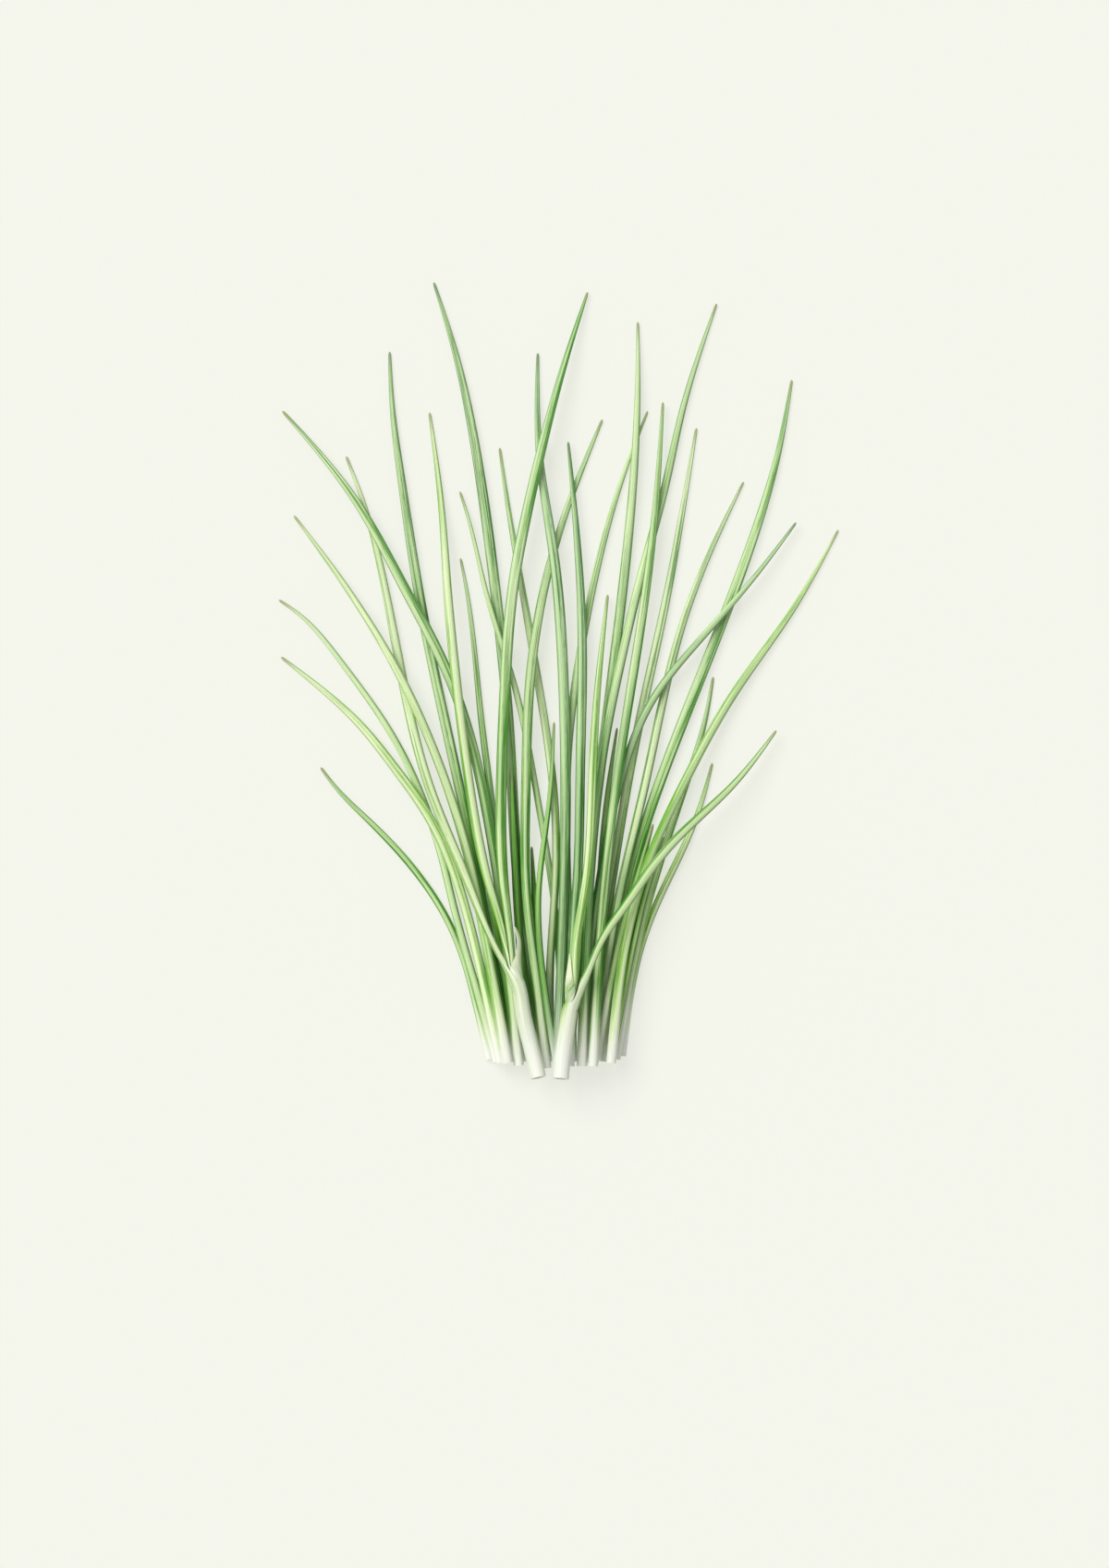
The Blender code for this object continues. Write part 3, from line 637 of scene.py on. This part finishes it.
# Each leaf's node, width, width at the cut, points from foot to tip, tone, turn of its pale streak (a
# painted highlight) round the section, deep green stretch (painted shade) and, if it has any, colours
# of its own
BACK_LEAVES = (
    ("back_leaf_a", 2.8, 3.0, ((-9.5, 5), (-14, 50), (-16.5, 106)), "deep", 1.2, (48, 78, 0.6)),
    ("back_leaf_b", 3.0, 3.2, ((13.2, 5), (21, 42), (33.5, 88)),
     "deep", 1.8, (48, 70, 0.6), {**BRIGHT, **PAINTED_LIGHT_FOOT}),
    ("back_leaf_c", 2.8, 3.0, ((10.8, 6), (14.2, 60), (17.3, 98), (20.8, 122)),
     "deep", 1.4, (15, 70, 0.3), BRIGHT),
    ("back_leaf_d", 2.8, 3.0, ((-15.2, 6), (-18.4, 33), (-22.6, 56), (-28, 82)),
     "deep", 2.0, (10, 30, 0.3)),
    ("back_leaf_e", 2.8, 3.0, ((19, 7), (24.4, 36), (30.2, 62), (37, 84)),
     "deep", 1.1, (45, 70, 0.0), BRIGHT),
    ("back_leaf_f", 2.4, 2.8, ((-3.4, 6), (-7.2, 45), (-9.4, 80)), "deep", 1.7, (20, 80, 0.5)),
)
for leaf in BACK_LEAVES:
    grow_leaf(*leaf, Foot_Length=3.0, Neck_Length=15.0, Streak_Strength=0.5)


# ---- Leaves on the table ------------------------------------------------------
# The first leaves laid down. They touch the table for most of their length, side by side at the
# cut, and the longest of the bunch is among them. Their feet stay half hidden under later leaves.

OPEN_GREEN = {"Blade": "74b240", "Upper": "b2d298", "Light": "d2e8b4"}
YOUNG = {"Blade": "a2d060", "Upper": "c2dc9e", "Light": "eaf5cc"}
GREEN_NECK = {"Neck": "a4c46c"}
TABLE_LEAVES = (
    ("leaf_25", 2.6, 3.2, ((-24.2, 5), (-29.8, 28), (-37.2, 50), (-49.5, 70), (-67.2, 89.3), (-79, 101.3),
      (-84, 108)), "fresh", 1.9, (32, 50, 0.2)),
    ("leaf_06", 3.8, 3.9, ((-16.4, 4), (-33, 92), (-49.3, 170), (-55.3, 209), (-58.6, 235), (-59.6, 255)),
     "blue", 2.2, (26, 46, 0.6), OPEN_GREEN),
    ("leaf_18", 2.6, 3.0, ((-12.8, 4), (-18, 52), (-23.4, 95), (-27.8, 130), (-32.3, 170), (-34.6, 182)),
     "fresh", 0.9, (10, 105, 0.6), GREEN_NECK),
    ("leaf_01", 4.0, 3.8, ((-6.2, 3), (-10.7, 33), (-15, 78), (-17.5, 122), (-22.4, 172), (-26.4, 202.6),
      (-30.6, 228.6), (-36.4, 254.7), (-44, 279.5)), "blue", 1.9, (12, 65, 0.4), OPEN_GREEN),
    ("leaf_17", 2.6, 2.8, ((1.6, 4), (-1.5, 60), (-7.1, 95), (-15.9, 138), (-25.6, 170), (-31.8, 196),
      (-34.8, 205.5)), "fresh", 1.3, (14, 52, 0.8), GREEN_NECK),
    ("leaf_13", 3.2, 3.4, ((5.2, 4), (3.4, 60), (3.7, 118), (8, 150), (16.5, 190), (23.2, 212), (31.6, 234)),
     "fresh", 1.0, (44, 66, 0.5)),
    ("leaf_11", 3.4, 3.4, ((9, 4), (19.6, 72), (26.2, 111.5), (33.1, 144), (38.9, 171), (43.8, 198),
      (48.9, 228)), "fresh", 1.9, (12, 80, 0.35), YOUNG),
    ("leaf_10", 4.0, 3.8, ((16.6, 4), (24.8, 66), (44.4, 125), (67.5, 185), (78.4, 222), (82.6, 245)),
     "fresh", 2.2, (68, 98, 0.45), {"Neck": "d6e6b4"}),
    ("leaf_30", 2.8, 3.4, ((22.3, 6), (27.2, 37), (32.1, 53.2), (40.9, 72.6), (49.5, 92.2), (54.5, 109.5)),
     "fresh", 1.0, (20, 90, 0.0), {**YOUNG, **PAINTED_LIGHT_FOOT}),
)
for leaf in TABLE_LEAVES:
    grow_leaf(*leaf, Foot_Length=4.0, Neck_Length=20.0)


# ---- Leaves in the hollows between them ---------------------------------------
# Four thinner leaves that settled between the first ones, their feet in the grooves of that layer.
# Three of them are young, with soft light green blades and long pale feet, made paler still as
# painted light against the shade of the leaves over them.

HOLLOW_LEAVES = (
    ("leaf_23", 3.0, 3.7, ((-21.6, 4), (-29, 30), (-37.3, 60), (-42, 79), (-48.7, 98.5), (-59.3, 120),
      (-76.7, 145), (-91.4, 161.9), (-98.8, 167.2)), "fresh", 1.4, (25, 110, 0.12)),
    ("leaf_16", 3.0, 3.3, ((-2.2, 4), (-3, 33), (-0.8, 72), (-1.5, 98), (-6.9, 137), (-13.1, 173),
      (-17.7, 200), (-20.7, 221)), "fresh", 1.8, (12, 28, 0.5), {**YOUNG, **PAINTED_LIGHT_FOOT}),
    ("leaf_19", 3.5, 3.4, ((12.7, 4), (20.8, 60), (30.3, 101), (36.6, 130.5), (43.3, 157), (53.1, 183),
      (65.5, 209)), "fresh", 1.2, (50, 72, 0.6), {**YOUNG, **PAINTED_LIGHT_FOOT}),
    ("leaf_28", 3.0, 3.2, ((20.4, 5), (28.5, 47), (35.4, 72.4), (43.9, 98.4), (51.9, 124.4), (54.8, 140)),
     "fresh", 1.6, (100, 125, 0.6), {**YOUNG, **PAINTED_LIGHT_FOOT}),
)
for leaf in HOLLOW_LEAVES:
    grow_leaf(*leaf, Foot_Length=4.0, Neck_Length=22.0)


# ---- Middle leaves ------------------------------------------------------------
# The leaves that cross over the ones on the table, some bent well out of the fan. Three of the
# outer ones are younger and yellower.

MIDDLE_LEAVES = (
    ("leaf_08", 3.9, 3.8, ((-13.9, 3), (-18, 45), (-24, 86), (-31, 118), (-40.2, 144), (-53.7, 170.3),
      (-71.3, 201.8), (-97.5, 234)),
     # its short foot and darker neck are painted shade, between the sheaths
     "fresh", 1.8, (50, 96, 0.6), {"Neck": "98b860", "Foot_Length": 1.0, "Tip_Strength": 0.45}),
    ("leaf_24", 3.5, 3.6, ((-20.2, 4), (-30.5, 50), (-37.3, 72.6), (-46.7, 92.3), (-57.8, 108),
      (-69.5, 122.5), (-83.5, 135.5), (-98, 147)), "yellow", 2.0, (30, 60, 0.0)),
    ("leaf_22", 3.6, 3.8, ((-17.8, 4), (-25.5, 46), (-30.8, 72), (-46.5, 120), (-55, 138.3),
      (-78.6, 176.7), (-93.5, 197)), "yellow", 1.2, (30, 50, 0.4)),
    ("leaf_14", 3.6, 3.7, ((-4.2, 2), (-7.6, 33), (-11.2, 65), (-11.4, 100), (-9.4, 144), (-5.2, 170),
      (2, 196.1), (15.6, 231)), "fresh", 1.7, (35, 60, 0.2)),
    ("leaf_04", 4.0, 3.8, ((3.4, 3), (12, 85), (23.3, 177), (27.2, 222), (28.1, 248), (28.1, 265.5)),
     "fresh", 1.1, (90, 175, 0.75), {"Upper": "96be76", "Tip_Strength": 0.7}),
    ("leaf_27", 2.4, 2.6, ((-0.4, 3), (-5.2, 33), (-7, 64), (-3.5, 94), (-1.5, 124)),
     "fresh", 1.5, (4, 52, 0.75), {"Neck": "9cbc64", "Light": "b8da90"}),
    ("leaf_20", 3.2, 3.6, ((8.4, 3), (11.5, 46), (17.8, 86), (24.2, 111.4), (33.1, 131.8), (48.3, 151.3),
      (71.7, 178.3), (84, 194.5)), "blue", 1.3, (70, 122, 0.4)),
    ("leaf_21", 3.4, 3.6, ((18.6, 4), (22.3, 38), (30.6, 72), (45.1, 104), (61.5, 133.3), (82.4, 163.2),
      (99, 192)), "yellow", 1.0, (50, 145, 0.5)),
)
for leaf in MIDDLE_LEAVES:
    grow_leaf(*leaf, Foot_Length=5.0, Neck_Length=25.0)


# ---- Upper leaves -------------------------------------------------------------
# Four leaves near the middle of the fan, laid down last. They rest on the rest of the pile, and
# most of their length lies open to view.

UPPER_LEAVES = (
    ("leaf_05", 3.9, 3.8, ((-0.5, 3), (2, 59), (2.6, 98), (1.3, 150), (-1.6, 183), (-6.5, 217),
      (-7.2, 254.5)), "blue", 1.9, (4, 72, 0.95), {"Neck": "8cb468"}),
    ("leaf_03", 3.6, 3.6, ((8.2, 3), (13.6, 97), (16.5, 118), (21.7, 144), (28.2, 172), (38, 209),
      (44, 235), (56, 272)), "fresh", 1.1, (28, 125, 0.75), {"Upper": "8cb86c", "Tip_Strength": 0.7}),
    ("leaf_12", 3.4, 3.6, ((12.2, 3), (16.9, 72.5), (22.8, 118), (29, 157), (34, 196), (37, 237)),
     "fresh", 1.9, (96, 128, 0.6)),
    ("leaf_15", 3.6, 3.6, ((4, 3), (4.8, 38), (7.2, 77), (7.8, 108), (8.5, 150), (3.5, 223)),
     "blue", 1.7, (46, 100, 0.45), {"Tip_Strength": 0.7}),
)
for leaf in UPPER_LEAVES:
    grow_leaf(*leaf, Foot_Length=5.0, Neck_Length=28.0)


# ---- Left tiller --------------------------------------------------------------
# Three leaves of one shoot, cut just above the bulb. The outer two are closed sheaths at the foot,
# white and stout, and the next leaf comes out of each through its mouth. The outer sheath's mouth
# is a narrow V, with the leaf's own blade on its left and a thin pale lip with a hook on its right.

MOUTH = 34.0                    # from the cut
LEFT_SHEATH = ((-7, -1), (-9.7, 10.5), (-12.5, 22.5), (-15.3, 34))
BORE_RANGE = (-3.0, 92.0)       # a bore starts before the cut and ends where the leaves are apart
BORE_GAP = 0.12                 # between a sheath and what it holds
BORE_HEIGHT = 0.9               # of its section, as a share of its width
FLARE_LENGTH = 9.0              # over which it widens
LIP_THICKNESS = 0.3
LIP_WRAP = 0.96                 # where a lip's outer edge stands on the round of its sheath
LIP_POINT = 0.12                # its least width
LIP_ROWS = 26                   # of points along it
LIP_COLUMNS = 11                # of points across it
FAR_ABOVE = 40.0                # a height over the whole bunch
SHARP_ANGLE = 0.9               # radians past which an edge of a sheath stays sharp
CORE_STREAK = 1.9               # the turn of the pale streak, a painted highlight, on a leaf that a sheath holds
CORE_CHANNEL = 0.6              # and of its channel, painted shade
SHEATH_TUBE = {"groove_depth": 0.05, "vein_ribs": 16.0, "vein_height": 0.012, "hollow_width": 0.98,
               "hollow_depth": 0.0}


def closed_solid(name, rings):
    """An object with closed rings of points, in millimetres, joined one to the next and capped."""
    solid = bmesh.new()
    loops = [[solid.verts.new(place * MM) for place in ring] for ring in rings]
    for low, high in zip(loops, loops[1:]):
        for k in range(len(low)):
            solid.faces.new((low[k - 1], low[k], high[k], high[k - 1]))
    solid.faces.new(loops[0][::-1])
    solid.faces.new(loops[-1])
    bmesh.ops.recalc_face_normals(solid, faces=solid.faces)
    mesh = bpy.data.meshes.new(name)
    solid.to_mesh(mesh)
    solid.free()
    return placed(name, mesh)


def bore_cutter(course, gap, mouth=None):
    """The outline of a leaf inside a sheath, wider by the gap and longer at the cut.

    mouth: how far from the cut it is, and how much wider the bore is there, which thins the rim.
    """
    keep = course.lengths <= BORE_RANGE[1]
    line = np.vstack([course.line[0] + course.ahead[0] * BORE_RANGE[0], course.line[keep]])
    across, upward = section_axes(np.vstack([course.ahead[0], course.ahead[keep]]))
    radius = np.append(course.radius[0], course.radius[keep]) + gap
    if mouth:
        place, flare = mouth
        lengths = np.append(0.0, course.lengths[keep])
        radius = radius + flare * smooth_step((lengths - place + FLARE_LENGTH) / FLARE_LENGTH)
    turns = np.linspace(0.0, 2 * np.pi, SIDES, endpoint=False)[:, None]
    rings = [line[i] + radius[i] * (np.cos(turns) * across[i] + BORE_HEIGHT * np.sin(turns) * upward[i])
             for i in range(len(line))]
    return closed_solid("bore", rings)


def combine(piece, other, operation):
    """Join the other solid to the piece or cut it away, and keep the result as a plain mesh."""
    change = piece.modifiers.new("combine", "BOOLEAN")
    change.operation = operation
    change.object = other
    made = evaluated(piece)
    piece.modifiers.remove(change)
    old = piece.data
    piece.data = made
    bpy.data.meshes.remove(old)
    bpy.data.objects.remove(other)


def lip_shell(course, edges, radius, side):
    """A thin curved tongue between two edges, wrapped round the front of the sheath that it grows from.

    edges: y, the left x and the right x of each row. radius: of the round that it is wrapped on.
    side: +1 where its right edge stands on the round of the sheath, -1 where its left edge does.
    """
    rings = []
    for y, left, right in spline_through(edges, LIP_ROWS):
        y = y + CUT_LINE[1]
        middle = (right if side > 0 else left) + CUT_LINE[0] - side * LIP_WRAP * radius
        level = np.interp(y, course.line[:, 1], course.line[:, 2])
        x = np.linspace(left, max(right, left + LIP_POINT), LIP_COLUMNS) + CUT_LINE[0]
        lean = np.arcsin(np.clip((x - middle) / radius, -1.0, 1.0))
        faces = []
        for share in (1.0, 1.0 - LIP_THICKNESS / radius):
            place = middle + share * radius * np.sin(lean)
            height = level + share * radius * SECTION_HEIGHT * np.cos(lean)
            faces.append(np.column_stack([place, np.full(LIP_COLUMNS, y), height]))
        rings.append(np.vstack([faces[0], faces[1][::-1]]))
    return closed_solid("lip", rings)


def prism(outline):
    """A tall upright block with the given outline, to cut a slanted mouth."""
    outline = np.array(outline) + CUT_LINE
    ends = [np.column_stack([outline, np.full(len(outline), z)]) for z in (FAR_BELOW, FAR_ABOVE)]
    return closed_solid("prism", ends)


def grow_core(node, course, tone, seed, tube, **look):
    """The innermost leaf of a tiller, which stands inside a sheath."""
    piece = make_leaf(node, course, tone, CORE_STREAK, CORE_CHANNEL, seed, tube, look)
    finish_leaf(piece, course, node)


def grow_sheath(node, course, tone, turn, held, mouth, slot="sheathing_leaf", lip=None, cut=None, **look):
    """A leaf that is a sheath at the foot, opened along the leaves that it holds.

    mouth: as for bore_cutter. lip: as for lip_shell. cut: the outline of what is cut away above a
    slanted mouth.
    """
    piece = make_leaf(node, course, tone, turn, channel_turn(turn), next_seed(), SHEATH_TUBE, look)
    for inner in held:
        combine(piece, bore_cutter(inner, BORE_GAP, mouth), "DIFFERENCE")
    if cut:
        combine(piece, prism(cut), "DIFFERENCE")
    if lip:
        combine(piece, lip_shell(course, **lip), "UNION")
        for inner in held:
            combine(piece, bore_cutter(inner, BORE_GAP), "DIFFERENCE")
    for face in piece.data.polygons:
        face.use_smooth = True
    piece.data.set_sharp_from_angle(angle=SHARP_ANGLE)
    finish_leaf(piece, course, node)


LEFT_OUTER = Course("left_outer_leaf", 3.6, 5.8, LEFT_SHEATH + (
    (-18.6, 38.7), (-23, 46.4), (-32.8, 70), (-45, 100), (-55, 139), (-62.2, 176), (-69.2, 202.5),
    (-75, 218)), neck=(MOUTH, 10.0, 2.2, 40.0))
LEFT_INNER = Course("left_inner_leaf", 3.6, 4.0, LEFT_SHEATH + (
    (-18.6, 46.5), (-21.2, 56), (-24.2, 66), (-30.3, 95), (-35, 130), (-39, 170), (-40.9, 196),
    (-45.5, 233.5)), neck=(MOUTH - 4, 16.0, 2.7, 40.0))
LEFT_HEART = Course("left_heart_leaf", 4.0, 2.3, LEFT_SHEATH + (
    (-16.6, 46), (-19, 66), (-20, 105), (-18.3, 144), (-16.1, 170), (-11.4, 196), (-4.4, 226), (2.1, 250),
    (10.4, 276)), neck=(MOUTH, 50.0, 4.0, 50.0))
LEFT_LIP = ((30, -15.8, -11.6), (34.3, -16.6, -12.4), (37.3, -16.7, -12.8), (39.7, -15.9, -13.05),
            (41.4, -15.1, -13.1), (43.8, -14.5, -13.0), (47, -14.4, -13.1), (50, -14.9, -13.95),
            (51.9, -15.3, -14.9))
# The hollow colour of a sheath is dark: painted shade deep inside its bore
SHEATH = {"Foot": "ebede5", "Neck": "d6e2bc", "Foot_Length": 28.0, "Neck_Length": 30.0, "Inside": "eef2dc",
          "Inside_Length": 60.0, "Hollow": "4c5c2a", "Deep_Strength": 0.0}

grow_core("left_heart_leaf", LEFT_HEART, "fresh", seed=91.0,
          tube={"hollow_width": 0.45, "hollow_depth": 0.004}, Foot="e6eccc", Neck="a8c470", Blade="90c450",
          Upper="a8d47c", Foot_Length=28.0, Neck_Length=24.0, Deep_From=78.0, Deep_To=115.0,
          Deep_Strength=0.25)
grow_sheath("left_inner_leaf", LEFT_INNER, "yellow", 1.2, held=(LEFT_HEART,), mouth=(MOUTH + 8, 0.4),
            slot="yellow_green_leaf", **{**SHEATH, "Blade": "92c448", "Upper": "b0d282"})
grow_sheath("left_outer_leaf", LEFT_OUTER, "yellow", 1.0, held=(LEFT_INNER, LEFT_HEART),
            mouth=(MOUTH, 0.42), lip={"edges": LEFT_LIP, "radius": 2.6, "side": 1},
            **{**SHEATH, "Blade": "b2d67a", "Upper": "b8d88e", "Shade": "6ca23a", "Light": "eaf4d0"})


# ---- Right tiller -------------------------------------------------------------
# A younger shoot of two leaves. Its outer leaf is a short stout sheath that bends away over the
# right side of the bunch. Its mouth is cut slantwise, a pale pointed lip stands up out of it on the
# left, and the inner leaf goes straight on behind that lip.

RIGHT_MOUTH = 25.0
RIGHT_SHEATH = ((0.9, -1), (1.8, 8), (3.1, 17), (4.7, 25))
RIGHT_INNER = Course("right_inner_leaf", 3.2, 3.3, RIGHT_SHEATH + (
    (5.8, 40), (6.6, 49), (8.5, 60), (10, 70), (11.8, 98), (13.5, 131), (17.5, 169)))
RIGHT_OUTER = Course("right_outer_leaf", 3.4, 5.9, RIGHT_SHEATH + (
    (8.8, 33), (12.7, 42), (16.4, 49.5), (23.1, 59), (30.3, 69.3), (38.1, 79.2), (50.8, 91.6),
    (60.7, 100.9), (77, 121)), neck=(RIGHT_MOUTH - 3, 20.0, 2.6, 32.0))
RIGHT_LIP = ((13, 0.6, 4.6), (19, 1.3, 5.6), (25.3, 2.3, 6.1), (30.2, 2.35, 5.95), (34.8, 2.65, 4.95),
             (39.7, 3.4, 4.45), (42.7, 3.85, 4.0))
SLANT = ((1.14, 24.0), (5.75, 29.4), (6.6, 31.2), (8.0, 34.3), (10.1, 38.9), (-3.0, 44.0), (-3.0, 19.2))

grow_core("right_inner_leaf", RIGHT_INNER, "yellow", seed=97.0,
          tube={"hollow_width": 0.6, "hollow_depth": 0.006}, Foot_Length=16.0, Neck_Length=18.0,
          Deep_Strength=0.0)
grow_sheath("right_outer_leaf", RIGHT_OUTER, "fresh", 1.1, held=(RIGHT_INNER,), mouth=(RIGHT_MOUTH, 0.85),
            lip={"edges": RIGHT_LIP, "radius": 2.35, "side": -1}, cut=SLANT,
            **{**SHEATH, "Neck": "cce09c", "Blade": "80bc44", "Light": "def0bc", "Foot_Length": 18.0})


# ---- Table, light and camera --------------------------------------------------
# A plain off-white table top, broad soft light from the upper left over an even pale surround, and
# a camera straight above the bunch, far enough away to show hardly any perspective.

TABLE_SIZE = 8.0                # in metres
FIBRES = 900.0                  # how fine the table's faint mottling is
TABLE_GLOW = 0.72               # what keeps the shadows on it pale
LIGHT_FROM = (-0.9, 0.8, 1.5)   # the direction of the light's source
FIELD = 552.5                   # what the camera sees from top to bottom, at the bunch
VIEW_CENTRE = (-1.46, -36.9, 8.0)
DISTANCE = 2000.0               # of the camera
FILM = 36.0                     # the camera's sensor

bpy.ops.mesh.primitive_plane_add(size=TABLE_SIZE)
table = bpy.context.object
table.name = "table_top"
paper = bpy.data.materials.new("table_off_white")
paper.use_nodes = True
tree = paper.node_tree
where = put(tree, "ShaderNodeTexCoord").outputs["Object"]
fibres = put(tree, "ShaderNodeTexNoise", {"Vector": where, "Scale": FIBRES, "Detail": 4.0}).outputs[0]
finish = tree.nodes["Principled BSDF"]
tree.links.new(mixed(tree, fibres, colour("81827d"), colour("83847f")), finish.inputs["Base Color"])
finish.inputs["Roughness"].default_value = 0.9
finish.inputs["Emission Color"].default_value = colour("f4f5ec")
finish.inputs["Emission Strength"].default_value = TABLE_GLOW
table.data.materials.append(paper)

world = bpy.data.worlds.new("studio")
bpy.context.scene.world = world
world.use_nodes = True
surround = world.node_tree.nodes["Background"]
surround.inputs["Color"].default_value = (1.0, 1.0, 0.985, 1.0)
surround.inputs["Strength"].default_value = 0.49

light = bpy.data.lights.new("soft_window", "SUN")
light.angle = 0.7
light.energy = 2.45
light.color = (1.0, 0.985, 0.95)
placed("soft_window", light).rotation_euler = Vector(LIGHT_FROM).to_track_quat("Z", "Y").to_euler()

lens = bpy.data.cameras.new("camera")
lens.sensor_width = FILM
lens.lens = FILM * DISTANCE / FIELD
lens.clip_end = 20.0
camera = placed("camera", lens)
camera.location = Vector(VIEW_CENTRE) * MM + Vector((0.0, 0.0, DISTANCE * MM))
bpy.context.scene.camera = camera
bpy.context.scene.view_settings.view_transform = "Standard"
